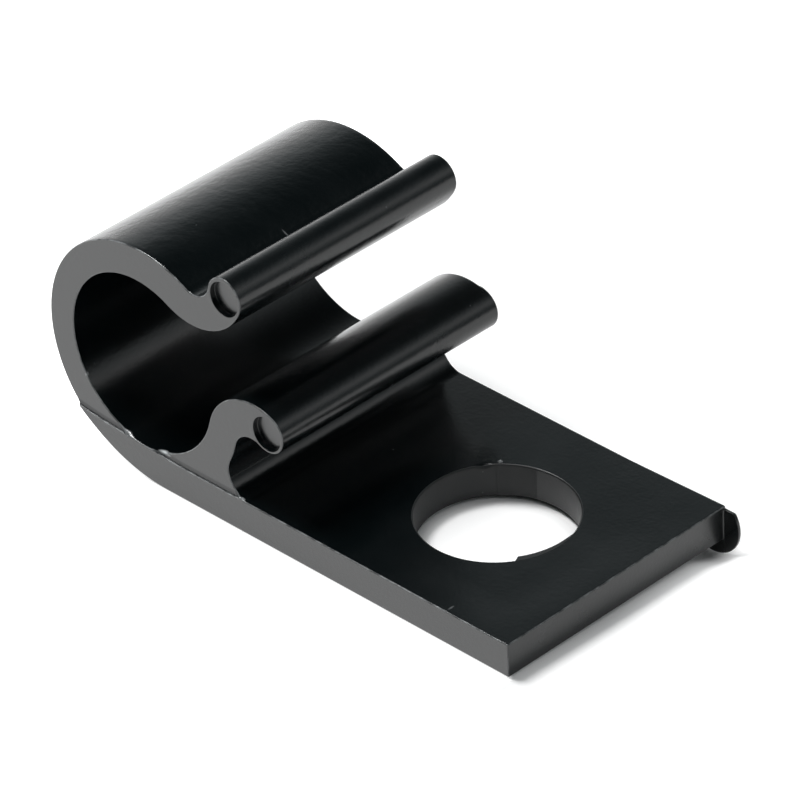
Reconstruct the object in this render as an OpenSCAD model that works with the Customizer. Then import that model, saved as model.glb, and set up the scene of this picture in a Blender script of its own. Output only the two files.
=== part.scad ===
// Screw-on cable clip, moulded in one piece: a flat tab with a screw hole, which runs
// on into an open round loop. A cable is pushed in between the loop's two beaded lips.
// Millimetres. The screw hole's axis is Z, the tab's underside is Z = 0, and the loop
// lies towards -X. The side profile is drawn in X and Z and runs along Y.

/* [Tab] */
// Width of the tab across the clip
tab_w = 9.5; // [7:0.1:14]
// Thickness of the tab
tab_t = 1.2; // [0.9:0.05:1.8]
// Diameter of the screw hole
hole_d = 5.16; // [3:0.02:6]
// From the screw hole's axis to the free end of the tab
hole_to_end = 5; // [4:0.1:8]
// From the screw hole's axis to the cable channel's axis
hole_to_channel = 10.6; // [10:0.1:16]

/* [Loop] */
// Diameter of the cable channel
channel_d = 6.14; // [5:0.02:8]
// Wall under the channel
floor_t = 1.26; // [1:0.02:1.8]
// Wall behind the channel, where the loop flexes
back_t = 1.04; // [0.8:0.02:1.6]
// Wall over the channel
crown_t = 1.2; // [0.9:0.02:1.6]
// Wall in front of the channel, from the tab up to the lower lip
front_t = 1.18; // [0.9:0.02:1.6]
// Radius of the fillet between the tab and the front wall
root_r = 0.8; // [0.4:0.05:1.2]
// How far the loop's near side stands in from the side of the tab
side_step = 0.07; // [0.03:0.01:0.3]
// Angle at which the loop's far side leans in above the tab
far_draft = 1; // [0.2:0.1:2]
// How far the tab's upper edge climbs by the back of the heel
heel_rise = 0.3; // [0:0.02:0.5]
// How far the underside stays flat past the loop's lowest point
heel_lead = 0.6; // [0:0.05:0.8]
// How much larger the heel's radius is than the loop's
heel_ease = 1.3; // [0.9:0.1:3]

/* [Lips] */
// Diameter of the bead along the edge of each lip
bead_d = 1.4; // [1.2:0.05:1.8]
// From the channel's wall out to the upper bead's axis
upper_reach = 2.64; // [2.2:0.02:3]
// Angle of the upper bead's axis, seen from the channel's axis
upper_angle = 45.8; // [40:0.2:60]
// Radius of the upper lip's underside
upper_lip_r = 2.38; // [2:0.02:3]
// Radius of the dip behind the upper bead
dip_r = 0.7; // [0.6:0.02:1]
// From the channel's wall out to the lower bead's axis
lower_reach = 2.45; // [2.2:0.05:2.8]
// Angle of the lower bead's axis, seen from the channel's axis
lower_angle = -1.3; // [-6:0.1:6]
// Radius of the lower lip's top
lower_lip_r = 2.1; // [1.8:0.05:2.6]
// Radius of the crook under the lower lip
crook_r = 0.78; // [0.6:0.02:1]

/* [Moulding marks] */
// Rim left round the pocket in the near end of each bead
pocket_rim = 0.1; // [0.06:0.01:0.3]
// Depth of that pocket
pocket_depth = 0.2; // [0.05:0.01:0.5]
// How far the boss on the far end of each bead stands out
boss_l = 0.04; // [0.02:0.01:0.2]
// How far the gate's scar stands out from the far side of the tab
scar_t = 0.11; // [0.06:0.01:0.3]
// Radius of the scar, a thin round fin at the end of the tab
scar_r = 1.13; // [0.9:0.01:1.4]
// From the end of the tab back to the scar's axis
scar_in = 0.5; // [0.2:0.02:0.8]
// Height of the scar's axis above the underside
scar_z = 0.49; // [0.3:0.01:0.8]
// How far below the top of the tab the scar is cut off
scar_cut = 0.08; // [0.02:0.01:0.3]
// Length over which the far side of the tab runs out to the scar
scar_run = 3.8; // [2:0.1:5]

/* [Hidden] */
$fn = 96;
overlap = 0.2;

channel_r = channel_d / 2;
bead_r = bead_d / 2;
pocket_r = bead_r - pocket_rim;
loop_r = (floor_t + channel_d + crown_t) / 2;
front_r = channel_r + front_t;
loop_near = side_step - tab_w / 2;
draft_z = tab_t + heel_rise;

channel_c = [-hole_to_channel, floor_t + channel_r];
loop_c = [channel_c[0] - channel_r - back_t + loop_r, loop_r];
loop_back = loop_c[0] - loop_r;
heel_r = loop_r + heel_ease;
heel_c = [loop_c[0] + heel_lead, heel_r];
ledge_start = channel_c[0] + channel_r / 2;

upper_bead = polar(channel_c, channel_r + upper_reach, upper_angle);
upper_lip_c = meet(channel_c, channel_r + upper_lip_r, upper_bead, upper_lip_r - bead_r, 1);
dip_c = meet(loop_c, loop_r + dip_r, upper_bead, bead_r + dip_r, 1);

lower_bead = polar(channel_c, channel_r + lower_reach, lower_angle);
lower_lip_c = meet(channel_c, channel_r + lower_lip_r, lower_bead, lower_lip_r - bead_r, -1);
crook_c = meet(channel_c, front_r + crook_r, lower_bead, bead_r + crook_r, -1);

root_z = tab_t + root_r;
root_run = sqrt(pow(front_r + root_r, 2) - pow(root_z - channel_c[1], 2));
root_c = [channel_c[0] + root_run, root_z];

// The point at radius r and angle a from c
function polar(c, r, a) = c + r * [cos(a), sin(a)];

// How far along Y the loop's far side lies at a height z above the start of its draft
function far_side(z) = tab_w / 2 - (z - draft_z) * tan(far_draft);

// The point at distance d from p on the line through q
function along(p, q, d) = p + d * (q - p) / norm(q - p);

// The point at distance a from p and b from q, left (1) or right (-1) of the way from p to q
function meet(p, a, q, b, side) =
    let (d = norm(q - p))
    let (u = (q - p) / d)
    let (k = (a * a - b * b + d * d) / (2 * d))
    p + k * u + side * sqrt(a * a - k * k) * [-u[1], u[0]];

module disc(c, r) {
    translate(c)
        circle(r);
}

// Side profile of the tab, as far back as the loop's lowest point
module tab_profile() {
    translate([loop_c[0], 0])
        square([hole_to_end - loop_c[0], tab_t]);
}

// All that lies above the underside, which is flat and then curves up round the heel
module above_underside() {
    disc(heel_c, heel_r);
    translate([heel_c[0], 0])
        square([hole_to_end - heel_c[0], 2 * heel_r]);
}

// The back of the loop, from the middle of the heel over the crown to the upper lip
module back_profile() {
    far = 2 * loop_r;
    intersection() {
        disc(loop_c, loop_r);
        polygon([
            channel_c,
            along(channel_c, upper_lip_c, far),
            [loop_back - far, loop_c[1] + far],
            [loop_back - far, -far],
            [loop_c[0], -far],
            [loop_c[0], channel_c[1]]
        ]);
    }
}

// The front wall between the tab and the lower lip, with its fillet on the tab
module front_profile() {
    far = 2 * front_r;
    difference() {
        union() {
            intersection() {
                disc(channel_c, front_r);
                polygon([
                    channel_c,
                    along(channel_c, root_c, far),
                    along(channel_c, lower_lip_c, far)
                ]);
            }
            polygon([
                channel_c,
                [loop_c[0], channel_c[1]],
                [loop_c[0], 0],
                [root_c[0], 0],
                root_c
            ]);
        }
        disc(root_c, root_r);
    }
}

// A lip that leaves the channel on one arc, ends in a bead that the arc runs into, and
// turns back to the wall round a hollow on its other side: every arc meets the next
// one on a common tangent
module lip_profile(bead, lip_c, lip_r, wall_c, wall_r, hollow_c, hollow_r) {
    tip = along(lip_c, bead, 2 * lip_r);
    difference() {
        intersection() {
            disc(lip_c, lip_r);
            union() {
                disc(wall_c, wall_r);
                polygon([wall_c, hollow_c, bead, tip]);
            }
        }
        disc(hollow_c, hollow_r);
    }
    disc(bead, bead_r);
}

// Side profile of the loop with both lips
module loop_profile() {
    difference() {
        intersection() {
            union() {
                back_profile();
                front_profile();
            }
            above_underside();
        }
        disc(channel_c, channel_r);
    }
    lip_profile(upper_bead, upper_lip_c, upper_lip_r, loop_c, loop_r, dip_c, dip_r);
    lip_profile(lower_bead, lower_lip_c, lower_lip_r, channel_c, front_r, crook_c, crook_r);
}

// Side profile of the full-width part: the tab, and the heel below its rising edge
module base_profile() {
    difference() {
        intersection() {
            union() {
                tab_profile();
                disc(loop_c, loop_r);
            }
            above_underside();
            polygon([
                [loop_back, 0],
                [hole_to_end, 0],
                [hole_to_end, tab_t],
                [ledge_start, tab_t],
                [loop_back, tab_t + heel_rise]
            ]);
        }
        disc(channel_c, channel_r);
    }
}

// Runs a profile in X and Z along Y, centred
module across(width) {
    rotate([90, 0, 0])
        linear_extrude(width, center = true)
            children();
}

// The loop with both lips, from its near side to its leaning far side
module loop() {
    difference() {
        translate([0, side_step / 2, 0])
            across(tab_w - side_step)
                loop_profile();
        translate([loop_back - overlap, tab_w / 2, draft_z])
            rotate([far_draft, 0, 0])
                cube([hole_to_end - loop_back, tab_w, 3 * loop_r]);
    }
}

// The scar of the gate at the far corner of the tab's end: the tab's side runs out to a
// thin round fin, which stands out past the end and hangs below the underside
module gate_scar() {
    far = tab_w / 2;
    linear_extrude(tab_t)
        polygon([
            [hole_to_end - scar_run, far],
            [hole_to_end - scar_run, far - overlap],
            [hole_to_end, far - overlap],
            [hole_to_end, far + scar_t]
        ]);
    intersection() {
        translate([hole_to_end - scar_in, far, scar_z])
            rotate([-90, 0, 0])
                cylinder(r = scar_r, h = scar_t);
        translate([hole_to_end - 2 * scar_r, far, scar_z - 2 * scar_r])
            cube([4 * scar_r, 2 * scar_t, tab_t - scar_cut - scar_z + 2 * scar_r]);
    }
}

// The round pocket in the near end of a bead
module bead_pocket(bead) {
    translate([bead[0], loop_near - overlap, bead[1]])
        rotate([-90, 0, 0])
            cylinder(r = pocket_r, h = overlap + pocket_depth);
}

// The round boss on the far end of a bead, as wide as the pocket
module bead_boss(bead) {
    translate([bead[0], far_side(bead[1]) - overlap, bead[1]])
        rotate([-90, 0, 0])
            cylinder(r = pocket_r, h = overlap + boss_l);
}

module cable_clip() {
    color([0.12, 0.12, 0.13])
        difference() {
            union() {
                across(tab_w)
                    base_profile();
                loop();
                gate_scar();
                bead_boss(upper_bead);
                bead_boss(lower_bead);
            }
            translate([0, 0, -overlap])
                cylinder(d = hole_d, h = tab_t + 2 * overlap);
            bead_pocket(upper_bead);
            bead_pocket(lower_bead);
        }
}

cable_clip();
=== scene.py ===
import math

import bpy
import numpy as np
from mathutils import Matrix, Vector
from mathutils.geometry import delaunay_2d_cdt


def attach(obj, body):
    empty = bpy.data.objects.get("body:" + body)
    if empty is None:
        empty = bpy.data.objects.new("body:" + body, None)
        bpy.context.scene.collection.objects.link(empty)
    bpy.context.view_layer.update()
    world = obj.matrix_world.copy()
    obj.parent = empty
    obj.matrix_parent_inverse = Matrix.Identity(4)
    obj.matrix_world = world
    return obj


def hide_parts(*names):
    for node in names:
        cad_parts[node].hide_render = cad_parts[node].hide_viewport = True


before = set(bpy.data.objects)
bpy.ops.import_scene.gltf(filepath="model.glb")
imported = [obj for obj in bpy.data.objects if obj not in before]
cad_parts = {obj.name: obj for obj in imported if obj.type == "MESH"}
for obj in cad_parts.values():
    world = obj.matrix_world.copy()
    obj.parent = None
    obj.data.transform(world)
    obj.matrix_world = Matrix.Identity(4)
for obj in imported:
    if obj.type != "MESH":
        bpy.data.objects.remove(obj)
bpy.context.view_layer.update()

# Sizes in millimetres and degrees, the same as in the part's source
MM = 0.001
TAB_W, TAB_T, HOLE_R, TAB_END = 9.5, 1.2, 2.58, 5.0
CHANNEL_R, FLOOR_T, BACK_T, CROWN_T, FRONT_T = 3.07, 1.26, 1.04, 1.2, 1.18
HOLE_TO_CHANNEL, ROOT_R, SIDE_STEP, FAR_DRAFT = 10.6, 0.8, 0.07, 1.0
HEEL_RISE, HEEL_LEAD, HEEL_EASE = 0.3, 0.6, 1.3
BEAD_R, UPPER_REACH, UPPER_ANGLE, UPPER_LIP_R, DIP_R = 0.7, 2.64, 45.8, 2.38, 0.7
LOWER_REACH, LOWER_ANGLE, LOWER_LIP_R, CROOK_R = 2.45, -1.3, 2.1, 0.78
SCAR_T, SCAR_R, SCAR_IN, SCAR_Z, SCAR_CUT, SCAR_RUN = 0.11, 1.13, 0.5, 0.49, 0.08, 3.8
POCKET_DEPTH, BOSS_L = 0.2, 0.04
HALF_W = TAB_W / 2

# Roundings and small forms that only the visual model has
EDGE_R, CORNER_R, RIM_R = 0.04, 0.05, 0.05
LEDGE_OUT_R, LEDGE_RISE, LEDGE_POWER = 0.015, 0.17, 1.5
CURL_X, CURL, CURL_MOST = -6.9, 0.2, 0.4
BACK_RISE, BACK_RUN, BACK_POWER = 0.15, 2.2, 1.5
HEEL_LIP, HEEL_LIP_STEP, HEEL_LIP_RUN = 0.07, 0.03, 1.1
SCAR_ROOT_R, SCAR_EDGE_R, SCAR_CORNER_R, SCAR_EASE = 0.05, 0.025, 0.12, 0.03
POCKET_R, POCKET_DROP, POCKET_LIP, POCKET_HEEL = 0.59, 0.03, 0.018, 0.012
BOSS_R, BOSS_EASE = 0.7, 0.04
SAG, SAG_EDGE, SAG_X, SAG_Y = 0.025, 4.65, (-3.6, 3.3), (-3.0, 0.5)

# Soft places on the channel's near edge: bearing, half width and extra radius
SOFT_EDGES = ((-105.6, 5, 0.1), (-75.3, 8, 0.05))

# Marks in the screw hole, by bearing round it
FLASH_START, FLASH_RISE, FLASH_END, FLASH_IN, FLASH_T, FLASH_FADE = -34, 3, 16, 0.2, 0.1, 0.6
WITNESS_LINES, WITNESS_IN, WITNESS_WIDTH = (134, 106), 0.012, 0.5
CHIP_MID, CHIP_HALF, CHIP_R = 143, 8, 0.1
FOOT_MID, FOOT_HALF, FOOT_IN, FOOT_T = 130, 9, 0.03, 0.1
SPUR_FROM_AXIS, SPUR_BEARING, SPUR_R, SPUR_H = 2.72, 132, 0.09, 0.07

# How strongly edges are lightened: the tab's end corners by wear; side edges by wear that grows
# into a painted highlight where they face upward; and a painted highlight line just under the
# ledge
CORNER_WEAR, SIDE_WEAR = 0.45, 0.25
LEDGE_HIGHLIGHT, LEDGE_HIGHLIGHT_BELOW, LEDGE_HIGHLIGHT_HALF = 1.6, 0.02, 0.03

# How fine the mesh is: lengths along the profile, counts, grids and clearances
FLAT_CHORD, HEEL_CHORD, WALL_CHORD, LIP_CHORD, END_CHORD = 0.3, 0.12, 0.1, 0.09, 0.08
BEAD_CHORD, RIM_CHORD, FILLET_CHORD, CORNER_CHORD, EASE_CHORD = 0.06, 0.04, 0.03, 0.025, 0.01
FINE_FLOOR, FINE_HEEL = (-72, -116), 232
LEDGE_CHORD, BOSS_TURN, SCAR_TURN, POCKET_TURN, SPUR_TURN = 0.04, 5, 3, 6, 30
EDGE_STEPS, ROWS, HOLE_STEPS, WALL_LEVELS = 4, 40, 720, 8
QUARTER, SPUR_RINGS = (0, 30, 60, 90), (0.35, 0.7, 1.0)
LEDGE_ROUND = (0, 25, 50, 70, 90)
LEDGE_PARTS = (-0.9, -0.5, -0.25, 0.15, 0.3, 0.5, 0.7, 0.85, 1.0, 1.3, 1.7)
SCAR_SWEEP, SCAR_RINGS, BOSS_RINGS = (205, 145), 4, 5
SIDE_GRID, SIDE_GRID_X, SIDE_GRID_Z = 0.35, (-14.4, 5.6), (-0.5, 9.1)
TAB_GRID, TAB_GRID_Y = 0.4, (-4.6, 4.7)
LINE_CLEAR, SIDE_CLEAR, BEAD_CLEAR, TAB_CLEAR, HOLE_CLEAR = 0.012, 0.1, 0.05, 0.15, 0.25
SCAR_TOP_CLEAR, SCAR_RING_CLEAR, LEAST_DROP = 0.01, 0.02, 0.02
STEEPEST, PROBE, MERGE = 0.999, 1e-4, 1e-7


# Plane geometry and smooth steps
def polar(c, r, degrees):
    a = math.radians(degrees)
    return np.array([c[0] + r * math.cos(a), c[1] + r * math.sin(a)])


def bearing(p, q):
    return math.degrees(math.atan2(q[1] - p[1], q[0] - p[0]))


def turn_up(a, least):
    """A bearing, turned on until it is at least another."""
    while a < least:
        a += 360
    return a


def meet(p, a, q, b, hand):
    """The point at distance a from p and b from q, left (1) or right (-1) of the way to q."""
    d = np.linalg.norm(q - p)
    u = (q - p) / d
    k = (a * a - b * b + d * d) / (2 * d)
    return p + k * u + hand * math.sqrt(a * a - k * k) * np.array([-u[1], u[0]])


def rays(degrees):
    """Unit vectors at some bearings."""
    a = np.radians(degrees)
    return np.stack([np.cos(a), np.sin(a)], 1)


def sin_cos(degrees):
    return math.sin(math.radians(degrees)), math.cos(math.radians(degrees))


def ease(t):
    """A smooth rise from nothing at 0 to one at 1."""
    t = np.clip(t, 0, 1)
    return t * t * (3 - 2 * t)


def ramp(x, start, end):
    return ease((x - start) / (end - start))


def swell(t):
    """One at the middle, falling to nothing at -1 and 1."""
    return np.cos(np.clip(t, -1, 1) * math.pi / 2) ** 2


# Centres and radii of the side profile, in X and Z
loop_r = (FLOOR_T + 2 * CHANNEL_R + CROWN_T) / 2
front_r = CHANNEL_R + FRONT_T
channel_c = np.array([-HOLE_TO_CHANNEL, FLOOR_T + CHANNEL_R])
loop_c = np.array([channel_c[0] - CHANNEL_R - BACK_T + loop_r, loop_r])
loop_back = loop_c[0] - loop_r
heel_r = loop_r + HEEL_EASE
heel_c = np.array([loop_c[0] + HEEL_LEAD, heel_r])
ledge_start = channel_c[0] + CHANNEL_R / 2
upper_bead = polar(channel_c, CHANNEL_R + UPPER_REACH, UPPER_ANGLE)
upper_lip_c = meet(channel_c, CHANNEL_R + UPPER_LIP_R, upper_bead, UPPER_LIP_R - BEAD_R, 1)
dip_c = meet(loop_c, loop_r + DIP_R, upper_bead, BEAD_R + DIP_R, 1)
lower_bead = polar(channel_c, CHANNEL_R + LOWER_REACH, LOWER_ANGLE)
lower_lip_c = meet(channel_c, CHANNEL_R + LOWER_LIP_R, lower_bead, LOWER_LIP_R - BEAD_R, -1)
crook_c = meet(channel_c, front_r + CROOK_R, lower_bead, BEAD_R + CROOK_R, -1)
BEADS = (upper_bead, lower_bead)
root_z = TAB_T + ROOT_R
root_run = math.sqrt((front_r + ROOT_R) ** 2 - (root_z - channel_c[1]) ** 2)
root_c = np.array([channel_c[0] + root_run, root_z])
back_corner = meet(loop_c, loop_r, heel_c, heel_r, 1)
scar_c = np.array([TAB_END - SCAR_IN, SCAR_Z])
scar_top = TAB_T - SCAR_CUT
scar_x = scar_c[0] - math.sqrt(SCAR_R ** 2 - SCAR_Z ** 2)
scar_ease_x = scar_x - 2 * SCAR_EASE
corner_x, top_corner_z = TAB_END - CORNER_R, TAB_T - CORNER_R


def arc(c, r, a0, a1, chord):
    """Points and outward normals from bearing a0 up to a1, without the last one.

    Where the bearings fall, the arc is a hollow.
    """
    count = max(3, math.ceil(abs(math.radians(a1 - a0)) * r / chord))
    ray = rays(np.linspace(a0, a1, count + 1)[:-1])
    return c + r * ray, ray if a1 > a0 else -ray


def line(p, q, normal, chord):
    """Points and normals from p up to q, without the last one."""
    p, q = np.array(p, float), np.array(q, float)
    count = max(1, math.ceil(np.linalg.norm(q - p) / chord))
    f = np.linspace(0, 1, count + 1)[:-1, None]
    return p + (q - p) * f, np.tile(np.array(normal, float), (count, 1))


# The side profile as one closed line, counter-clockwise when seen along +Y
front_a, crook_a = bearing(channel_c, root_c), bearing(channel_c, crook_c)
low_a = bearing(channel_c, lower_lip_c)
lip_a = bearing(channel_c, upper_lip_c)
dip_a = bearing(loop_c, dip_c)
bead_dip_a = bearing(upper_bead, dip_c)
bead_lip_a = bearing(upper_lip_c, upper_bead)
crook_bead_a = bearing(lower_bead, crook_c)
lower_lip_a = bearing(lower_lip_c, lower_bead)
loop_back_a = turn_up(bearing(loop_c, back_corner), 0)
heel_back_a = turn_up(bearing(heel_c, back_corner), 0)
lip_end_a = turn_up(bead_lip_a, lip_a + 180)
floor_from, floor_to = FINE_FLOOR
parts = [
    ("bottom", line((heel_c[0], 0), (scar_ease_x, 0), (0, -1), FLAT_CHORD)),
    ("scar_edge", line((scar_ease_x, 0), (scar_x, 0), (0, -1), EASE_CHORD)),
    ("under_scar", line((scar_x, 0), (corner_x, 0), (0, -1), WALL_CHORD)),
    ("low_corner", arc((corner_x, CORNER_R), CORNER_R, -90, 0, CORNER_CHORD)),
    ("end", line((TAB_END, CORNER_R), (TAB_END, scar_top), (1, 0), END_CHORD)),
    ("end_top", line((TAB_END, scar_top), (TAB_END, top_corner_z), (1, 0), WALL_CHORD)),
    ("top_corner", arc((corner_x, top_corner_z), CORNER_R, 0, 90, CORNER_CHORD)),
    ("top", line((corner_x, TAB_T), (root_c[0], TAB_T), (0, 1), WALL_CHORD)),
    ("root", arc(root_c, ROOT_R, 270, bearing(root_c, channel_c), FILLET_CHORD)),
    ("front", arc(channel_c, front_r, front_a, crook_a, WALL_CHORD)),
    ("crook", arc(crook_c, CROOK_R, crook_a + 180, crook_bead_a + 180, BEAD_CHORD)),
    ("lower_bead", arc(lower_bead, BEAD_R, crook_bead_a, lower_lip_a, BEAD_CHORD)),
    ("lower_lip", arc(lower_lip_c, LOWER_LIP_R, lower_lip_a, low_a + 180, LIP_CHORD)),
    ("channel_front", arc(channel_c, CHANNEL_R, low_a, floor_from, WALL_CHORD)),
    ("channel_floor", arc(channel_c, CHANNEL_R, floor_from, floor_to, FILLET_CHORD)),
    ("channel", arc(channel_c, CHANNEL_R, floor_to, lip_a - 360, WALL_CHORD)),
    ("upper_lip", arc(upper_lip_c, UPPER_LIP_R, lip_a + 180, lip_end_a, LIP_CHORD)),
    ("upper_bead", arc(upper_bead, BEAD_R, bead_lip_a, bead_dip_a, BEAD_CHORD)),
    ("dip", arc(dip_c, DIP_R, bead_dip_a + 180, dip_a + 180, BEAD_CHORD)),
    ("crown", arc(loop_c, loop_r, dip_a, loop_back_a, WALL_CHORD)),
    ("ledge_back", arc(heel_c, heel_r, heel_back_a, FINE_HEEL, CORNER_CHORD)),
    ("heel", arc(heel_c, heel_r, FINE_HEEL, 270, HEEL_CHORD)),
]
first = {}
total = 0
for name, (points, _) in parts:
    first[name] = total
    total += len(points)
outline = np.concatenate([p for _, (p, _) in parts])
outline_n = np.concatenate([n for _, (_, n) in parts])


# How far each side's surface lies in from the tab's side
def ledge_z(x):
    """The line where the loop's near side steps in from the tab's.

    It climbs towards the heel's back, and in front it curls up out of the root fillet.
    """
    slope = HEEL_RISE / (ledge_start - loop_back)
    z = TAB_T + np.maximum(ledge_start - x, 0) * slope
    z = z + BACK_RISE * np.clip((loop_back + BACK_RUN - x) / BACK_RUN, 0, 1) ** BACK_POWER
    return z + np.minimum(CURL * np.maximum(x - CURL_X, 0) ** 2, CURL_MOST)


def above_ledge(p):
    return p[..., 1] - ledge_z(p[..., 0])


# Below the ledge the heel's back stands out as a low lip
corner = first["ledge_back"]
outline_n[corner] = outline_n[corner - 1] + outline_n[corner + 1]
outline_n[corner] /= np.linalg.norm(outline_n[corner])
below = -above_ledge(outline[corner:])
rise = ease(below / (2 * HEEL_LIP_STEP) + 0.5)
fall = np.clip(1 - below / HEEL_LIP_RUN, 0, 1)
outline[corner:] += (HEEL_LIP * rise * fall ** 2)[:, None] * outline_n[corner:]
ring = np.concatenate([outline[corner - 1:], outline[:1]])
way = ring[2:] - ring[:-2]
outline_n[corner:] = np.stack([way[:, 1], -way[:, 0]], 1) / np.linalg.norm(way, axis=1)[:, None]


def near_depth(p):
    """The near side: a rounded step at the ledge."""
    t = above_ledge(p)
    out = np.clip((t + LEDGE_OUT_R) / LEDGE_OUT_R, 0, STEEPEST)
    into = np.clip((LEDGE_RISE - t) / LEDGE_RISE, 0, 1)
    low = LEDGE_OUT_R * (1 - np.sqrt(1 - out * out))
    high = SIDE_STEP - (SIDE_STEP - LEDGE_OUT_R) * into ** LEDGE_POWER
    return np.where(t < 0, low, high)


def far_depth(p):
    """The far side leans in, each bead ends in a boss, and the tab runs out to the scar."""
    lean = math.tan(math.radians(FAR_DRAFT))
    depth = lean * np.maximum(p[..., 1] - TAB_T - HEEL_RISE, 0)
    for bead in BEADS:
        r = np.linalg.norm(p - bead, axis=-1)
        level = lean * (bead[1] - TAB_T - HEEL_RISE) - BOSS_L
        depth = depth + (level - depth) * ease((BOSS_R + BOSS_EASE - r) / BOSS_EASE)
    run_out = np.clip((p[..., 0] - TAB_END + SCAR_RUN) / SCAR_RUN, 0, 1)
    from_scar = np.linalg.norm(p - scar_c, axis=-1) - SCAR_R
    outside = np.maximum(from_scar, p[..., 1] - scar_top)
    return depth - SCAR_T * np.maximum(run_out, ease(1 - outside / SCAR_EASE))


def gradient(depth, p):
    shifts = np.array([(PROBE, 0), (0, PROBE)])
    return np.stack([(depth(p + d) - depth(p - d)) / (2 * PROBE) for d in shifts], -1)


class Shell:
    """The moulding's vertices, their normals, their wear and painted highlight, and the faces, in
    millimetres.
    """

    def __init__(self):
        self.points, self.normals, self.wear, self.faces = [], [], [], []

    def add(self, points, normals, wear=0.0):
        start = len(self.points)
        self.points.extend(np.asarray(points, float).reshape(-1, 3))
        self.normals.extend(np.asarray(normals, float).reshape(-1, 3))
        self.wear.extend(np.broadcast_to(wear, len(self.points) - start))
        return np.arange(start, len(self.points))

    def face(self, corners, flip=False):
        self.faces.append(corners[::-1] if flip else corners)

    def quads(self, a, b, closed=False, flip=False):
        """Joins two rows of vertices of the same length."""
        count = len(a) if closed else len(a) - 1
        for k in range(count):
            m = (k + 1) % len(a)
            corners = tuple(dict.fromkeys((a[k], a[m], b[m], b[k])))
            if len(corners) > 2:
                self.face(corners, flip)


def in_polygon(p, polygon):
    """Which of the points p lie in a closed polygon."""
    inside = np.zeros(len(p), bool)
    for (x0, y0), (x1, y1) in zip(polygon, np.roll(polygon, -1, 0)):
        if y0 == y1:
            continue
        crosses = (y0 > p[:, 1]) != (y1 > p[:, 1])
        inside ^= crosses & (p[:, 0] < (x1 - x0) * (p[:, 1] - y0) / (y1 - y0) + x0)
    return inside


def distance_to(p, polygon):
    """Distance of each point from a closed polygon's line."""
    best = np.full(len(p), np.inf)
    for s, e in zip(polygon, np.roll(polygon, -1, 0)):
        d = e - s
        f = np.clip(((p - s) @ d) / (d @ d), 0, 1)
        best = np.minimum(best, np.linalg.norm(p - s - f[:, None] * d, axis=1))
    return best


def loose_points(xs, ys, border, clear):
    """Points of a grid inside a border and clear of it."""
    xs, ys = np.meshgrid(xs, ys)
    p = np.stack([xs.ravel(), ys.ravel()], 1)
    p = p[in_polygon(p, border)]
    return p[distance_to(p, border) > clear]


def fill(shell, outer, holes, plane, lift, extra=(), chains=(), flip=False):
    """Fills a flat region with triangles.

    outer and holes are rows of vertices, and plane lists the two axes of the region. lift turns
    new places into points, normals, and wear with painted highlight, extra are loose inner points,
    chains inner lines.
    """
    def flat_row(row):
        return np.array([shell.points[i][plane] for i in row])

    loops = [list(outer)] + [list(h) for h in holes]
    known = [i for loop in loops for i in loop]
    flat = list(flat_row(known))
    edges, at = [], 0
    for loop in loops:
        edges += [(at + k, at + (k + 1) % len(loop)) for k in range(len(loop))]
        at += len(loop)
    for chain in chains:
        edges += [(at + k, at + k + 1) for k in range(len(chain) - 1)]
        flat += list(chain)
        at += len(chain)
    flat += list(extra)
    places, _, triangles, sources, _, _ = delaunay_2d_cdt(
        [Vector((float(p[0]), float(p[1]))) for p in flat], edges, [], 0, MERGE
    )
    index, fresh = {}, []
    for k, source in enumerate(sources):
        old = [s for s in source if s < len(known)]
        if old:
            index[k] = known[old[0]]
        else:
            fresh.append(k)
    if fresh:
        made = shell.add(*lift(np.array([places[k][:] for k in fresh])))
        index.update(zip(fresh, made))
    spots = np.array([p[:] for p in places])
    middle = np.array([spots[list(t)].mean(0) for t in triangles])
    keep = in_polygon(middle, flat_row(outer))
    for h in holes:
        keep &= ~in_polygon(middle, flat_row(h))
    for t, wanted in zip(triangles, keep):
        if wanted:
            shell.face(tuple(index[k] for k in t), flip)


# Rows along Y, which end in a small fillet where the gate's scar stands out
end_first, end_last = first["low_corner"], first["top"]
scar_first, scar_last = first["under_scar"], first["end_top"]
near_edge = np.full(total, EDGE_R)
channel_a = np.degrees(np.arctan2(*(outline - channel_c).T[::-1]))
for i in range(first["channel_front"], first["upper_lip"]):
    for middle, half, extra in SOFT_EDGES:
        near_edge[i] += extra * swell((channel_a[i] - middle) / half)
near_rim = near_depth(outline) + near_edge
far_rim = far_depth(outline) + EDGE_R
far_rim[scar_first:scar_last + 1] = SCAR_ROOT_R
corner_wear = np.zeros(total)
for name, after in (("low_corner", "end"), ("top_corner", "top")):
    part = np.linspace(0, math.pi, first[after] - first[name], endpoint=False)
    corner_wear[first[name]:first[after]] = CORNER_WEAR * np.sin(part)

shell = Shell()
grid = np.full((total, ROWS), -1)
for i in range(total):
    near, far = -HALF_W + near_rim[i], HALF_W - far_rim[i]
    inside_flat = first["bottom"] < i < end_first or end_last < i < first["root"]
    for j in (0, ROWS - 1) if inside_flat else range(ROWS):
        spot = (outline[i, 0], near + (far - near) * j / (ROWS - 1), outline[i, 1])
        normal = (outline_n[i, 0], 0, outline_n[i, 1])
        grid[i, j] = shell.add([spot], [normal], corner_wear[i])[0]
for i in range(total):
    if not (first["bottom"] <= i < end_first or end_last <= i < first["root"]):
        shell.quads(grid[i], grid[(i + 1) % total])

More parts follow.
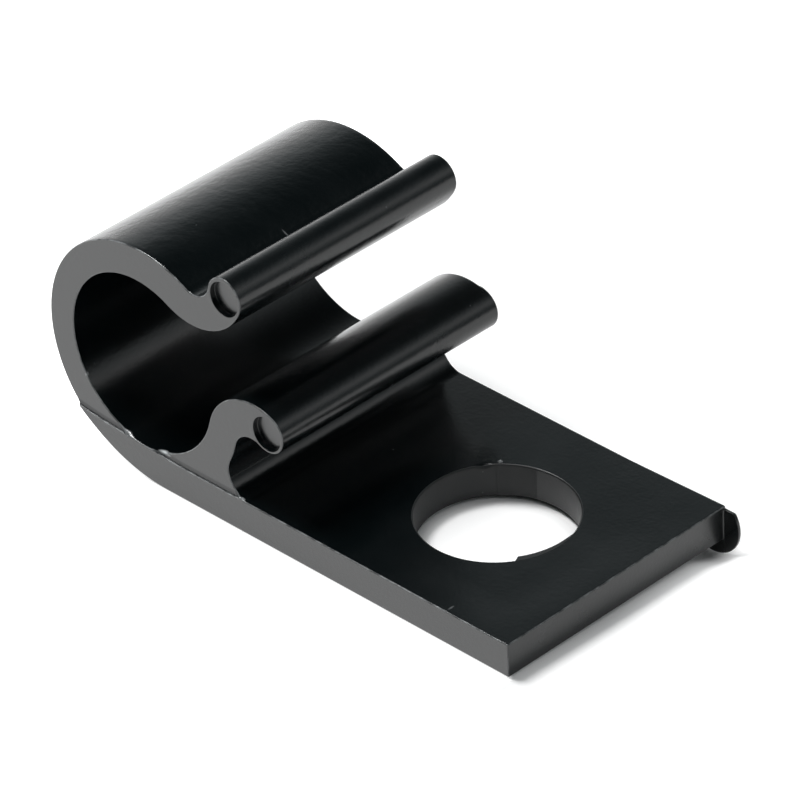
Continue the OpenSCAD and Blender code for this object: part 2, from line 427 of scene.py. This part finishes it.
# The gate's scar: the fillet on the tab, the rim of the thin fin, and its near face
tip_z = scar_top - SCAR_CORNER_R
tip_x = scar_c[0] + math.sqrt((SCAR_R - SCAR_CORNER_R) ** 2 - (tip_z - SCAR_Z) ** 2)
tip_a = bearing(scar_c, (tip_x, tip_z))
rim_parts = [
    arc(scar_c, SCAR_R, bearing(scar_c, (scar_x, 0)), tip_a, RIM_CHORD),
    arc((tip_x, tip_z), SCAR_CORNER_R, tip_a, 90, FILLET_CHORD),
    line((tip_x, scar_top), (TAB_END + SCAR_ROOT_R, scar_top), (0, 1), END_CHORD),
]
rim_xz = np.concatenate([p for p, _ in rim_parts])[1:]
rim_n = np.concatenate([n for _, n in rim_parts])[1:]
fin_far = HALF_W + SCAR_T - EDGE_R


def junction(xz, near_n, far_n):
    """Where the scar's rim meets the tab's edge: a vertex on the fin's near face and a far one."""
    return shell.add([(xz[0], HALF_W, xz[1]), (xz[0], fin_far, xz[1])], [near_n, far_n])


start_near, start_far = junction(outline[scar_first], (0, -0.7, -0.7), (-0.6, 0, -0.8))
stop_near, stop_far = junction(outline[scar_last], (0.6, -0.6, 0.5), (0.7, 0, 0.7))
steps = np.radians(QUARTER[1:])
fillets = [[grid[scar_first, -1]] + [start_near] * len(steps)]
for i in range(scar_first + 1, scar_last):
    (px, pz), (nx, nz) = outline[i], outline_n[i]
    out = SCAR_ROOT_R * (1 - np.cos(steps))
    along = HALF_W - SCAR_ROOT_R * (1 - np.sin(steps))
    points = np.stack([px + nx * out, along, pz + nz * out], 1)
    normals = np.stack([nx * np.cos(steps), -np.sin(steps), nz * np.cos(steps)], 1)
    fillets.append([grid[i, -1]] + list(shell.add(points, normals)))
fillets.append([grid[scar_last, -1]] + [stop_near] * len(steps))
for a, b in zip(fillets, fillets[1:]):
    shell.quads(a, b)

rounds = np.radians((0, 45, 90))
rims = [[start_near] * len(rounds) + [start_far]]
for (px, pz), (nx, nz) in zip(rim_xz, rim_n):
    inset = SCAR_EDGE_R * (1 - np.sin(rounds))
    along = HALF_W + SCAR_EDGE_R * (1 - np.cos(rounds))
    points = np.stack([px - nx * inset, along, pz - nz * inset], 1)
    normals = np.stack([nx * np.sin(rounds), -np.cos(rounds), nz * np.sin(rounds)], 1)
    edge = shell.add(points, normals)
    rims.append(list(edge) + list(shell.add([(px, fin_far, pz)], [(nx, 0, nz)])))
rims.append([stop_near] * len(rounds) + [stop_far])
for a, b in zip(rims, rims[1:]):
    shell.quads(a, b)
after = grid[scar_last + 1, -1]
shell.face((grid[scar_last, -1], stop_near, after))
shell.face((stop_near, stop_far, after))


def on_fin(xz):
    points = np.stack([xz[:, 0], np.full(len(xz), HALF_W), xz[:, 1]], 1)
    return points, np.tile((0.0, -1.0, 0.0), (len(xz), 1))


near_face = [f[-1] for f in fillets] + [r[0] for r in rims[::-1]]
near_face = list(dict.fromkeys(int(i) for i in near_face))[::-1]
fill(shell, near_face, [], [0, 2], on_fin)


# Lines on the two sides that the mesh follows
def inner_lines(paths, flat):
    """The stretches of some lines that lie inside a region, clear of its border."""
    runs = []
    for path in paths:
        good = in_polygon(path, flat) & (distance_to(path, flat) > LINE_CLEAR)
        run = []
        for p, ok in zip(path, good):
            if ok:
                run.append(p)
            else:
                runs.append(run)
                run = []
        runs.append(run)
    return [r for r in runs if len(r) > 1]


def ledge_lines():
    levels = [-LEDGE_OUT_R * (1 - s) for s, _ in map(sin_cos, LEDGE_ROUND)]
    levels += [LEDGE_RISE * f for f in LEDGE_PARTS]
    xs = np.arange(loop_back, root_c[0], LEDGE_CHORD)
    return [np.stack([xs, ledge_z(xs) + level], 1) for level in levels]


def boss_lines():
    ray = rays(np.arange(0, 361, BOSS_TURN))
    radii = np.linspace(BOSS_R, BOSS_R + BOSS_EASE, BOSS_RINGS)
    return [bead + r * ray for bead in BEADS for r in radii]


def scar_lines():
    ray = rays(np.arange(*SCAR_SWEEP, -SCAR_TURN))
    xs = np.arange(scar_c[0] - SCAR_R, TAB_END, BEAD_CHORD)
    offsets = np.linspace(0, SCAR_EASE, SCAR_RINGS)
    rings = [scar_c + (SCAR_R + s) * ray for s in offsets]
    rings = [r[r[:, 1] < scar_top - SCAR_TOP_CLEAR] for r in rings]
    tops = [np.stack([xs, np.full(len(xs), scar_top + s)], 1) for s in offsets]
    return rings + [t[t[:, 0] > rings[0][-1, 0] + SCAR_RING_CLEAR] for t in tops]


# The two sides
def side(sign, row, contour, contour_n, edge, depth, lines, pockets):
    """The clip's side at -Y (sign -1) or +Y.

    It has a rounded edge, and then the flat with its steps and pockets.
    """
    flip = sign > 0

    def place(xz, inset):
        return np.stack([xz[:, 0], sign * (HALF_W - inset), xz[:, 1]], 1)

    def face_normal(slope_xz):
        n = np.stack([slope_xz[:, 0], np.full(len(slope_xz), sign), slope_xz[:, 1]], 1)
        return n / np.linalg.norm(n, axis=1)[:, None]

    last = row
    for k in range(1, EDGE_STEPS + 1):
        a = math.pi / 2 * k / EDGE_STEPS
        xz = contour - (edge * (1 - math.cos(a)))[:, None] * contour_n
        steep = math.cos(a) / math.sin(a)
        normals = face_normal(gradient(depth, xz) + steep * contour_n)
        # Painted highlight: side edges are lightened more where they face upward, on top of their
        # wear
        upward = np.clip(contour_n[:, 1], 0, 1)
        wear = math.sin(2 * a) * (SIDE_WEAR + (1 - SIDE_WEAR) * upward)
        ring = shell.add(place(xz, depth(xz) + edge * (1 - math.sin(a))), normals, wear)
        shell.quads(last, ring, closed=True, flip=flip)
        last = ring

    holes = [pocket(sign, bead - np.array([0, POCKET_DROP]), flip) for bead in pockets]
    flat = np.array([(shell.points[i][0], shell.points[i][2]) for i in last])
    xs, zs = np.arange(*SIDE_GRID_X, SIDE_GRID), np.arange(*SIDE_GRID_Z, SIDE_GRID)
    loose = loose_points(xs, zs, flat, SIDE_CLEAR)
    loose = loose[np.abs(above_ledge(loose)) > 2 * LEDGE_RISE]
    for bead in BEADS:
        loose = loose[np.linalg.norm(loose - bead, axis=1) > BEAD_R + BEAD_CLEAR]

    def lift(xz):
        # On the near side, a painted highlight along the line just under the ledge
        ledge_highlight = 0.0
        if sign < 0:
            from_ledge_highlight = np.abs(above_ledge(xz) + LEDGE_HIGHLIGHT_BELOW)
            ledge_highlight = LEDGE_HIGHLIGHT * np.clip(1 - from_ledge_highlight / LEDGE_HIGHLIGHT_HALF, 0, 1)
        return place(xz, depth(xz)), face_normal(gradient(depth, xz)), ledge_highlight

    fill(shell, last, holes, [0, 2], lift, loose, inner_lines(lines, flat), flip)


def pocket(sign, centre, flip):
    """A shallow round pocket in the end of a bead. Returns its outer ring."""
    ray = rays(np.arange(0, 360, POCKET_TURN))
    profile = []
    for s, c in map(sin_cos, QUARTER):
        profile.append((POCKET_R + POCKET_LIP * (1 - s), POCKET_LIP * (1 - c), -s, c))
    for s, c in map(sin_cos, QUARTER[::-1]):
        inner = POCKET_R - POCKET_HEEL * (1 - s)
        profile.append((inner, POCKET_DEPTH - POCKET_HEEL * (1 - c), -s, c))
    face = HALF_W - SIDE_STEP
    rings = []
    for radius, depth, n_out, n_face in profile:
        xz, n_xz = centre + radius * ray, n_out * ray
        points = np.stack([xz[:, 0], np.full(len(ray), sign * (face - depth)), xz[:, 1]], 1)
        normals = np.stack([n_xz[:, 0], np.full(len(ray), sign * n_face), n_xz[:, 1]], 1)
        rings.append(shell.add(points, normals))
    for outer, inner in zip(rings, rings[1:]):
        shell.quads(outer, inner, closed=True, flip=flip)
    spot = (centre[0], sign * (face - POCKET_DEPTH), centre[1])
    middle = shell.add([spot], [(0, sign, 0)])[0]
    floor_ring = rings[-1]
    for k in range(len(floor_ring)):
        shell.face((floor_ring[k], floor_ring[(k + 1) % len(floor_ring)], middle), flip)
    return rings[0]


side(-1, grid[:, 0], outline, outline_n, near_edge, near_depth, ledge_lines(), BEADS)
far_row = list(grid[:scar_first, -1])
far_row += [r[-1] for r in rims] + list(grid[scar_last + 1:, -1])
far_points = np.array([shell.points[i] for i in far_row])[:, [0, 2]]
far_normals = np.array([shell.normals[i] for i in far_row])[:, [0, 2]]
far_edge = np.full(len(far_row), EDGE_R)
side(1, far_row, far_points, far_normals, far_edge, far_depth, boss_lines() + scar_lines(), ())

# The screw hole, with its moulding marks
bearings = np.arange(HOLE_STEPS) * 360 / HOLE_STEPS
spur_at = polar((0, 0), SPUR_FROM_AXIS, SPUR_BEARING)


def off(centre):
    """Bearings measured from a centre bearing, between -180 and 180."""
    return (bearings - centre + 180) % 360 - 180


def sag(xy):
    """The tab's top has sunk a little, away from its edges."""
    x, y = xy[..., 0], xy[..., 1]
    along = ramp(x, root_c[0], SAG_X[0]) * ramp(x, corner_x, SAG_X[1])
    across = ramp(y, -SAG_EDGE, SAG_Y[0]) * ramp(y, SAG_EDGE, SAG_Y[1])
    return -SAG * along * across


past = off(FLASH_START)
flash_run = FLASH_END - FLASH_START - FLASH_RISE
flash_fade = np.clip(1 - (past - FLASH_RISE) / flash_run, 0, 1) ** FLASH_FADE
flash = FLASH_IN * np.clip(past / FLASH_RISE, 0, 1) * flash_fade
witness = sum(WITNESS_IN * np.exp(-(off(b) / WITNESS_WIDTH) ** 2) for b in WITNESS_LINES)
foot = FOOT_IN * swell(off(FOOT_MID) / FOOT_HALF)
rim = RIM_R + CHIP_R * swell(off(CHIP_MID) / CHIP_HALF)

ray = rays(bearings)
profile = []
for s, c in map(sin_cos, QUARTER):
    r = HOLE_R + rim * (1 - s) - flash
    profile.append((r, TAB_T - rim * (1 - c) + sag(ray * r[:, None])))
under_rim = profile[-1][1] - LEAST_DROP
for z in np.linspace(TAB_T - FLASH_T, 2 * FOOT_T, WALL_LEVELS):
    profile.append((HOLE_R - witness, np.minimum(z, under_rim)))
profile.append((HOLE_R - witness - foot, np.full(HOLE_STEPS, FOOT_T)))
for s, c in map(sin_cos, QUARTER[::-1]):
    profile.append((HOLE_R + RIM_R * (1 - s) - foot, np.full(HOLE_STEPS, RIM_R * (1 - c))))
wall = np.array([np.column_stack([ray * r[:, None], z]) for r, z in profile])
around = np.roll(wall, -1, 1) - np.roll(wall, 1, 1)
down = np.gradient(wall, axis=0)
wall_n = np.cross(around, down)
wall_n /= np.linalg.norm(wall_n, axis=2)[:, :, None]
wall_n[0], wall_n[-1] = (0, 0, 1), (0, 0, -1)
wall_n[0, :, :2] -= gradient(sag, wall[0, :, :2])
bore = [shell.add(p, n) for p, n in zip(wall, wall_n)]
for upper, lower in zip(bore, bore[1:]):
    shell.quads(upper, lower, closed=True)


def tab_face(a, b, ring, up):
    """The tab's top or underside between two columns, with the screw hole in it."""
    z, n = (TAB_T, (0, 0, 1)) if up else (0.0, (0, 0, -1))
    far_side = list(grid[a + 1:b, -1])
    if not up:
        k = scar_first - a - 1
        far_side[k:k] = [start_far, start_near]
    loop = list(grid[a:b, 0]) + list(grid[b]) + far_side[::-1] + list(grid[a][::-1])
    loop = list(dict.fromkeys(int(i) for i in loop))
    border = np.array([shell.points[i][:2] for i in loop])
    xs, ys = np.arange(heel_c[0], TAB_END, TAB_GRID), np.arange(*TAB_GRID_Y, TAB_GRID)
    loose = loose_points(xs, ys, border, TAB_CLEAR)
    loose = loose[np.linalg.norm(loose, axis=1) > HOLE_R + HOLE_CLEAR]
    if up:
        spoke = SPUR_R * rays(np.arange(0, 360, SPUR_TURN))
        rings = [spur_at + f * spoke for f in SPUR_RINGS]
        loose = np.concatenate([loose, [spur_at]] + rings)

    def relief(xy):
        if not up:
            return np.zeros(len(xy))
        return sag(xy) + SPUR_H * swell(np.linalg.norm(xy - spur_at, axis=-1) / SPUR_R)

    def lift(xy):
        normals = np.tile(np.array(n, float), (len(xy), 1))
        normals[:, :2] -= gradient(relief, xy)
        return np.column_stack([xy, z + relief(xy)]), normals

    fill(shell, loop, [ring], [0, 1], lift, loose, flip=not up)


tab_face(end_last, first["root"], bore[0], True)
tab_face(first["bottom"], end_first, bore[-1], False)


def smooth_mesh(name, points, faces):
    """A smooth mesh from points in millimetres."""
    made = bpy.data.meshes.new(name)
    made.from_pydata((np.array(points) * MM).tolist(), [], faces)
    made.polygons.foreach_set("use_smooth", [True] * len(made.polygons))
    return made


clip_faces = [tuple(int(i) for i in f) for f in shell.faces]
mesh = smooth_mesh("cable_clip_moulding", shell.points, clip_faces)
mesh.normals_split_custom_set_from_vertices(
    [tuple(n / np.linalg.norm(n)) for n in shell.normals]
)
mesh.attributes.new("wear", "FLOAT", "POINT").data.foreach_set("value", shell.wear)
mesh.update()
clip = bpy.data.objects.new("cable_clip_moulding", mesh)
bpy.context.scene.collection.objects.link(clip)
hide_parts("cable_clip")
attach(clip, "root")


class Graph:
    """Adds nodes to a material or to the world."""

    def __init__(self, owner):
        owner.use_nodes = True
        self.nodes, self.links = owner.node_tree.nodes, owner.node_tree.links
        self.where = self.nodes.new("ShaderNodeTexCoord").outputs

    def new(self, kind, inputs, **settings):
        """A node, with sockets or plain values for its inputs."""
        node = self.nodes.new("ShaderNode" + kind)
        for name, value in settings.items():
            setattr(node, name, value)
        for key, value in inputs.items():
            if isinstance(value, bpy.types.NodeSocket):
                self.links.new(value, node.inputs[key])
            else:
                node.inputs[key].default_value = value
        return node

    def math(self, operation, *values):
        return self.new("Math", dict(enumerate(values)), operation=operation).outputs[0]

    def chain(self, operation, value, *more):
        """One operation over any number of values."""
        for other in more:
            value = self.math(operation, value, other)
        return value

    def span(self, value, reach, ends, kind="LINEAR"):
        """Goes from the first end to the second while a value crosses a reach."""
        inputs = {"Value": value, "From Min": reach[0], "From Max": reach[1]}
        inputs.update({"To Min": ends[0], "To Max": ends[1]})
        return self.new("MapRange", inputs, interpolation_type=kind).outputs["Result"]

    def zone(self, value, origin, reach, ends, kind="LINEAR"):
        """A span whose reach is in millimetres from an origin."""
        return self.span(value, [(origin + r) * MM for r in reach], ends, kind)

    def mix(self, part, a, b):
        """A colour between two others."""
        return self.new("Mix", {0: part, 6: a, 7: b}, data_type="RGBA").outputs[2]

    def split(self, vector):
        return self.new("SeparateXYZ", {"Vector": vector}).outputs


# Material: satin black nylon, with texture scales per metre
NYLON_IOR = 1.55
BLACK, BLACK_CLOUD = (0.001, 0.0024, 0.0028, 1), (0.0016, 0.0034, 0.004, 1)
PALE_MARKS_AND_HIGHLIGHTS = (0.75, 0.785, 0.8, 1)
CLOUDS, EDGE_NOISE, MOTTLES, GRAIN, DUST = (700, 4), (2600, 2), (3200, 3), (9000, 4), 1500
SATIN, BEAD_DULL, PANEL_DULL, END_DULL = (0.17, 0.22), 0.06, (0.42, 0.25), 0.09
EDGE_LIGHTENING, DUST_LIGHT = (0.09, 0.36), 0.056
FINE_BUMP, FINE_DEPTH, BROAD_BUMP, BROAD_DEPTH = 0.35, 0.01, 1.0, 0.02
PLAIN_MOTTLING, LOOP_MOTTLING, BEAD_MOTTLING = 0.08, 0.55, 0.26

# Where these looks fade, by a texture's value or in millimetres
CLOUD_REACH, EDGE_NOISE_REACH, MARK_EDGE = (0.3, 0.7), (0.4, 0.62), (0.2, 1.0)
SPECK_EDGE, SPECK_PICK = (0.03, 0.05), (0.8, 0.84)
BORE_EDGE, END_FACE, PAST_END = (0.02, 0.06), (-0.04, 0), (0.02, 0.06)
BEAD_SKIN, LOOP_SKIN, PANEL_X, LIP_X = (0.02, 0.1), (-0.12, -0.05), (-0.75, -0.65), (-8.4, -7.4)
LOOP_NEAR_Y, LOOP_FAR_Y = (-4.65, -4.55), (4.5, 4.6)

# Pale marks and painted glints: centre and half size in millimetres, and strength
MARKS_AND_GLINTS = (
    # Torn spur at the hole
    ((*spur_at, TAB_T + 0.04), (0.14, 0.1, 0.09), 0.32),
    # Scratch on the crown
    ((-8.28, -0.46, 8.03), (0.2, 0.035, 0.25), 0.18),
    # Nicks in the tab's near edge and in the channel's
    ((2.42, -4.5, TAB_T), (0.05, 0.16, 0.03), 0.13),
    ((-13.26, -4.66, 2.75), (0.08, 0.1, 0.1), 0.3),
    # Painted glints at the two ends of the ledge's front half
    ((-9.86, -4.64, 1.34), (0.45, 0.1, 0.065), 1.0),
    ((-6.32, -4.7, 1.23), (0.12, 0.07, 0.06), 0.5),
)


def nylon():
    material = bpy.data.materials.new("black_nylon")
    graph = Graph(material)
    place = graph.where["Object"]
    x, y, z = graph.split(place)
    shader = graph.nodes["Principled BSDF"]
    shader.inputs["IOR"].default_value = NYLON_IOR

    def noise(scale, detail):
        inputs = {"Vector": place, "Scale": scale, "Detail": detail}
        return graph.new("TexNoise", inputs).outputs["Fac"]

    def from_axis(a, b, centre):
        """Distance from the line through a centre in two of the axes."""
        flat = graph.new("CombineXYZ", {"X": a, "Y": b}).outputs["Vector"]
        inputs = {0: flat, 1: (centre[0] * MM, centre[1] * MM, 0)}
        return graph.new("VectorMath", inputs, operation="DISTANCE").outputs["Value"]

    # The bore, the cut end of the tab and the beads are duller than the rest
    cloud = noise(*CLOUDS)
    in_bore = graph.zone(from_axis(x, y, (0, 0)), HOLE_R, BORE_EDGE, (1, 0))
    bore_dull = graph.math("MULTIPLY", in_bore, graph.zone(x, 0, PANEL_X, PANEL_DULL))
    at_end = graph.zone(x, TAB_END, END_FACE, (0, END_DULL))
    past_end = graph.zone(x, TAB_END, PAST_END, (1, 0))
    dull = graph.math("MAXIMUM", bore_dull, graph.math("MULTIPLY", at_end, past_end))
    on_beads = [
        graph.zone(from_axis(x, z, bead), BEAD_R, BEAD_SKIN, (1, 0)) for bead in BEADS
    ]
    on_bead = graph.math("MAXIMUM", *on_beads)
    satin = graph.span(cloud, CLOUD_REACH, SATIN)
    roughness = graph.chain("ADD", satin, graph.math("MULTIPLY", on_bead, BEAD_DULL), dull)
    graph.links.new(roughness, shader.inputs["Roughness"])

    # Edges lighter by wear and by painted highlight, a few marks and painted glints, and a little
    # dust, all lighter than the rest
    def mark(centre, half, strength):
        """An oval mark about a centre."""
        inputs = {"Vector": place}
        inputs["Location"] = [c * MM for c in centre]
        inputs["Scale"] = [h * MM for h in half]
        local = graph.new("Mapping", inputs, vector_type="TEXTURE").outputs["Vector"]
        length = graph.new("VectorMath", {0: local}, operation="LENGTH").outputs["Value"]
        return graph.span(length, MARK_EDGE, (strength, 0))

    # Edge lightening carried on the mesh: wear, and painted highlight on upward edges and under
    # the ledge
    worn_and_highlit = graph.new("Attribute", {}, attribute_name="wear").outputs["Fac"]
    edges = graph.math("MULTIPLY", worn_and_highlit, graph.span(noise(*EDGE_NOISE), EDGE_NOISE_REACH, EDGE_LIGHTENING))
    specks = graph.new("TexVoronoi", {"Vector": place, "Scale": DUST}).outputs
    pick = graph.new("SeparateColor", {"Color": specks["Color"]}).outputs[0]
    speck = graph.span(specks["Distance"], SPECK_EDGE, (1, 0))
    dust = graph.math("MULTIPLY", speck, graph.span(pick, SPECK_PICK, (0, DUST_LIGHT)))
    light = graph.chain("MAXIMUM", edges, dust, *[mark(*each) for each in MARKS_AND_GLINTS])
    colour = graph.mix(light, graph.mix(cloud, BLACK, BLACK_CLOUD), PALE_MARKS_AND_HIGHLIGHTS)
    graph.links.new(colour, shader.inputs["Base Color"])

    # The grain of the skin, and its mottling on the loop and the beads
    outside = graph.zone(from_axis(x, z, loop_c), loop_r, LOOP_SKIN, (0, 1))
    behind_lip = graph.zone(x, 0, LIP_X, (1, 0))
    off_near = graph.zone(y, 0, LOOP_NEAR_Y, (0, 1))
    off_far = graph.zone(y, 0, LOOP_FAR_Y, (1, 0))
    on_loop = graph.chain("MULTIPLY", outside, behind_lip, off_near, off_far)
    loop_mottling = graph.span(on_loop, (0, 1), (PLAIN_MOTTLING, LOOP_MOTTLING))
    bead_mottling = graph.math("MULTIPLY", on_bead, BEAD_MOTTLING)
    mottling = graph.math("MAXIMUM", loop_mottling, bead_mottling)
    inputs = {"Strength": FINE_BUMP, "Distance": FINE_DEPTH * MM, "Height": noise(*GRAIN)}
    fine = graph.new("Bump", inputs).outputs["Normal"]
    inputs = {"Strength": BROAD_BUMP, "Distance": BROAD_DEPTH * MM, "Normal": fine}
    inputs["Height"] = graph.math("MULTIPLY", noise(*MOTTLES), mottling)
    graph.links.new(graph.new("Bump", inputs).outputs["Normal"], shader.inputs["Normal"])
    return material


mesh.materials.append(nylon())

# Floor: soft white paper, close under the tab, that the low edge of the scar presses into
NEAR_GAP, FAR_GAP = 0.03, 0.2
DENT_R, DENT_DEPTH, DENT_RINGS, DENT_TURN = 1.8, 0.5, 10, 7.5
FLOOR_R = 3000.0
PAPER, PAPER_ROUGHNESS = (0.9, 0.9, 0.9, 1), 0.9
spokes = rays(np.arange(0, 360, DENT_TURN))
floor_points = [(scar_c[0], HALF_W, -DENT_DEPTH)]
for r in [*np.linspace(DENT_R / DENT_RINGS, DENT_R, DENT_RINGS), FLOOR_R]:
    level = -DENT_DEPTH * swell(r / DENT_R)
    floor_points += [(scar_c[0] + r * c, HALF_W + r * s, level) for c, s in spokes]
floor_faces = []
for k in range(len(spokes)):
    m = (k + 1) % len(spokes)
    floor_faces.append((0, 1 + k, 1 + m))
    for start in range(1, len(floor_points) - len(spokes), len(spokes)):
        outer = start + len(spokes)
        floor_faces.append((start + k, outer + k, outer + m, start + m))
floor_mesh = smooth_mesh("floor", floor_points, floor_faces)
floor = bpy.data.objects.new("floor", floor_mesh)
floor.location.z = -(NEAR_GAP + FAR_GAP) / 2 * MM
floor.rotation_euler.x = -math.atan((FAR_GAP - NEAR_GAP) / TAB_W)
bpy.context.scene.collection.objects.link(floor)

# How strongly the paper glows round the clip, where it doesn't keep the full shadow
BEHIND_GLOW, BEYOND_GLOW, HOLE_GLOW, END_GLOW = 0.7, 0.2, 0.33, (0.2, 0.42)
HEEL_SLANT = 0.4

# Where that glow fades, in millimetres from the clip's forms
AHEAD_FADE, TAB_SIDE_FADE, TAB_END_FADE = (-1.4, -0.3), (-0.05, 0.25), (-0.3, 0.3)
HEEL_SIDE_FADE, HEEL_FADE, BEHIND_FADE = (-0.6, 1.4), (-1.2, 0.4), (-3, 0)
PAST_END_FADE, END_GLOW_Y, BEYOND_FADE, HOLE_FADE = (-0.4, 0.7), (-1, 3), (0, 1.2), (-0.7, 0.05)


def paper():
    material = bpy.data.materials.new("white_paper")
    graph = Graph(material)
    place = graph.where["Object"]
    x, y, _ = graph.split(place)
    shader = graph.nodes["Principled BSDF"]
    shader.inputs["Base Color"].default_value = PAPER
    shader.inputs["Roughness"].default_value = PAPER_ROUGHNESS
    shader.inputs["Specular IOR Level"].default_value = 0.0
    shader.inputs["Emission Color"].default_value = (1, 1, 1, 1)
    path = graph.nodes.new("ShaderNodeLightPath").outputs
    seen_by = [path[f"Is {kind} Ray"] for kind in ("Camera", "Glossy", "Transmission")]

    def fade(value, origin, reach, ends):
        return graph.zone(value, origin, reach, ends, "SMOOTHSTEP")

    # In front of the clip, and in the strip close along the tab
    ahead = fade(y, -HALF_W, AHEAD_FADE, (1, 0))
    along_tab = graph.math(
        "MULTIPLY",
        fade(y, -HALF_W, TAB_SIDE_FADE, (1, 0)),
        fade(x, TAB_END, TAB_END_FADE, (1, 0)),
    )
    # Under the rising heel, along a slanted line, and behind the loop
    slant = graph.math("MULTIPLY_ADD", x, HEEL_SLANT, -HEEL_SLANT * heel_c[0] * MM)
    heel_y = graph.math("ADD", y, graph.math("MINIMUM", slant, 0.0))
    under_heel = graph.math(
        "MULTIPLY",
        fade(heel_y, -HALF_W, HEEL_SIDE_FADE, (1, 0)),
        fade(x, heel_c[0], HEEL_FADE, (1, 0)),
    )
    behind = fade(x, loop_back, BEHIND_FADE, (BEHIND_GLOW, 0))
    # Past the free end, beyond the far side, and in the hole
    past_end = graph.math(
        "MULTIPLY",
        fade(x, TAB_END, PAST_END_FADE, (0, 1)),
        fade(y, 0, END_GLOW_Y, END_GLOW),
    )
    beyond = fade(y, HALF_W, BEYOND_FADE, (0, BEYOND_GLOW))
    from_hole = graph.new("VectorMath", {0: place}, operation="LENGTH").outputs["Value"]
    in_hole = fade(from_hole, HOLE_R, HOLE_FADE, (HOLE_GLOW, 0))
    zones = (ahead, along_tab, under_heel, behind, past_end, beyond, in_hole)
    glow = graph.math(
        "MULTIPLY", graph.chain("MAXIMUM", *seen_by), graph.chain("MAXIMUM", *zones)
    )
    graph.links.new(glow, shader.inputs["Emission Strength"])
    return material


floor_mesh.materials.append(paper())

# Studio light: a dome that is bright low on the left and softly bright on the right
LEFT = (
    (0, 1.5), (5, 1.2), (10, 1.0), (16, 0.82), (23, 0.6), (29, 0.45),
    (35, 0.2), (41, 0.11), (46, 0.06), (53, 0.02), (90, 0.02),
)
RIGHT = (
    (0, 0.12), (12, 0.26), (22, 0.64), (30, 0.95), (36, 0.68),
    (44, 0.36), (54, 0.08), (60, 0.02), (90, 0.02),
)
FRONT = ((0, 0.3), (6, 0.15), (15, 0.06), (90, 0.02))
LEFT_TO_RIGHT, FRONT_TO_SIDES = (-0.25, 0.5), (-0.45, -0.1)
COOLNESS, COOL_BLUE = 0.14, 0.2
world = bpy.data.worlds.new("studio")
bpy.context.scene.world = world
sky = Graph(world)
sky_x, sky_y, sky_z = sky.split(sky.where["Generated"])


def dome(levels):
    """Brightness by elevation, in degrees, cooler where it is dim."""
    node = sky.new("ValToRGB", {"Fac": sky_z})
    stops = node.color_ramp.elements
    for k, (elevation, level) in enumerate(levels):
        position = math.sin(math.radians(elevation))
        if 0 < k < len(levels) - 1:
            stop = stops.new(position)
        else:
            stop = stops[0 if k == 0 else -1]
            stop.position = position
        cool = COOLNESS * max(1 - level, 0)
        stop.color = (level * (1 - cool), level, level * (1 + COOL_BLUE * cool), 1)
    return node.outputs["Color"]


def blend(direction, reach, a, b):
    """Goes from a to b along one direction of the sky."""
    return sky.mix(sky.span(direction, reach, (0, 1), "SMOOTHSTEP"), a, b)


sides = blend(sky_x, LEFT_TO_RIGHT, dome(LEFT), dome(RIGHT))
whole_sky = blend(sky_y, FRONT_TO_SIDES, dome(FRONT), sides)
sky.links.new(whole_sky, sky.nodes["Background"].inputs["Color"])

# Two soft boxes, aimed at the middle of the clip, in metres and watts
LAMP_TARGET, LAMP_DISTANCE = (-0.004, 0, 0.002), 0.6


def soft_box(name, direction, width, height, power):
    data = bpy.data.lights.new(name, "AREA")
    data.shape = "RECTANGLE"
    data.size = width
    data.size_y = height
    data.energy = power
    lamp = bpy.data.objects.new(name, data)
    away = Vector(direction).normalized()
    lamp.location = Vector(LAMP_TARGET) + away * LAMP_DISTANCE
    lamp.rotation_euler = away.to_track_quat("Z", "Y").to_euler()
    bpy.context.scene.collection.objects.link(lamp)


soft_box("key", (-0.40, -0.08, 0.913), width=0.19, height=0.19, power=3.1)
soft_box("front", (0.2, -0.42, 0.885), width=0.4, height=0.1, power=0.32)

# Camera at the photograph's viewing angle
CAMERA_AT = (0.11044, -0.10979, 0.11045)
CAMERA_TURN = Vector((2.0487807, 0.81642875, -0.48594043))
camera_data = bpy.data.cameras.new("camera")
camera_data.sensor_width = 36.0
camera_data.lens = 280.28
camera_data.clip_start = 0.01
camera_data.clip_end = 20.0
camera = bpy.data.objects.new("camera", camera_data)
bpy.context.scene.collection.objects.link(camera)
view = Matrix.Rotation(CAMERA_TURN.length, 3, CAMERA_TURN.normalized())
pose = (view.transposed() @ Matrix.Diagonal((1, -1, -1))).to_4x4()
pose.translation = Vector(CAMERA_AT)
camera.matrix_world = pose
bpy.context.scene.camera = camera

bpy.context.scene.view_settings.view_transform = "Standard"
